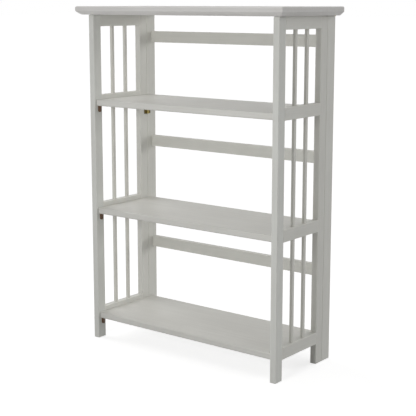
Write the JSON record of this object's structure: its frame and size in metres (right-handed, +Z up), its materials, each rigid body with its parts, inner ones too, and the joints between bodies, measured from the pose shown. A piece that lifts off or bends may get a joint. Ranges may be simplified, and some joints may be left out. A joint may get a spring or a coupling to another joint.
{
  "type": "folding bookcase",
  "caption": "Free-standing bookcase with slatted side frames, open bays and a moulded top; the shelves and the top turn up on rear pivots so that it can fold flat.",
  "frame": {"origin": "on the floor, at the centre of the footprint of the whole bookcase", "axes": "+Z up; the open front faces -Y; +X to the right of someone facing the front"},
  "size_m": [0.6984, 0.2921, 0.9652],
  "materials": {
    "white_paint": "off-white satin paint on wood",
    "brown_stain": "dark brown stained hardwood",
    "bare_wood": "bare beech, hidden inside the joints",
    "brass": "brass-plated, slightly dulled",
    "steel": "plain bright steel"
  },
  "bodies": {
    "frame": {"left_front_post": "white_paint", "left_rear_stile": "white_paint", "left_back_stile": "white_paint", "left_lower_rail": "white_paint", "left_middle_rail": "white_paint", "left_upper_rail": "white_paint", "left_top_rail": "white_paint", "left_lower_front_slat": "white_paint", "left_lower_rear_slat": "white_paint", "left_middle_front_slat": "white_paint", "left_middle_rear_slat": "white_paint", "left_upper_front_slat": "white_paint", "left_upper_rear_slat": "white_paint", "left_shelf_supports": "brown_stain", "left_frame_dowels": "bare_wood", "left_hinge_frame_leaves": "brass", "left_hinge_stile_leaves": "brass", "left_hinge_pins": "brass", "left_hinge_screws": "brass", "right_front_post": "white_paint", "right_rear_stile": "white_paint", "right_back_stile": "white_paint", "right_lower_rail": "white_paint", "right_middle_rail": "white_paint", "right_upper_rail": "white_paint", "right_top_rail": "white_paint", "right_lower_front_slat": "white_paint", "right_lower_rear_slat": "white_paint", "right_middle_front_slat": "white_paint", "right_middle_rear_slat": "white_paint", "right_upper_front_slat": "white_paint", "right_upper_rear_slat": "white_paint", "right_shelf_supports": "brown_stain", "right_frame_dowels": "bare_wood", "right_hinge_frame_leaves": "brass", "right_hinge_stile_leaves": "brass", "right_hinge_pins": "brass", "right_hinge_screws": "brass", "back_lower_rail": "white_paint", "back_middle_rail": "white_paint", "back_upper_rail": "white_paint", "back_frame_dowels": "bare_wood", "top_hinge_lower_leaves": "brass", "top_hinge_lower_screws": "brass", "top_hinge_pins": "brass"},
    "top": {"top_panel": "white_paint", "top_hinge_upper_leaves": "brass", "top_hinge_upper_screws": "brass"},
    "lower_shelf_body": {"lower_shelf": "white_paint", "lower_shelf_pins": "steel"},
    "middle_shelf_body": {"middle_shelf": "white_paint", "middle_shelf_pins": "steel"},
    "upper_shelf_body": {"upper_shelf": "white_paint", "upper_shelf_pins": "steel"}
  },
  "joints": [
    {"name": "top_lift", "type": "hinge", "parent": "frame", "child": "top", "pos_m": [0, 0.14405, 0.9418], "axis": [-1, 0, 0], "range_deg": [0, 90]},
    {"name": "lower_shelf_fold", "type": "hinge", "parent": "frame", "child": "lower_shelf_body", "pos_m": [0, 0.11605, 0.068], "axis": [-1, 0, 0], "range_deg": [0, 90]},
    {"name": "middle_shelf_fold", "type": "hinge", "parent": "frame", "child": "middle_shelf_body", "pos_m": [0, 0.11605, 0.381], "axis": [-1, 0, 0], "range_deg": [0, 90]},
    {"name": "upper_shelf_fold", "type": "hinge", "parent": "frame", "child": "upper_shelf_body", "pos_m": [0, 0.11605, 0.694], "axis": [-1, 0, 0], "range_deg": [0, 90]}
  ]
}
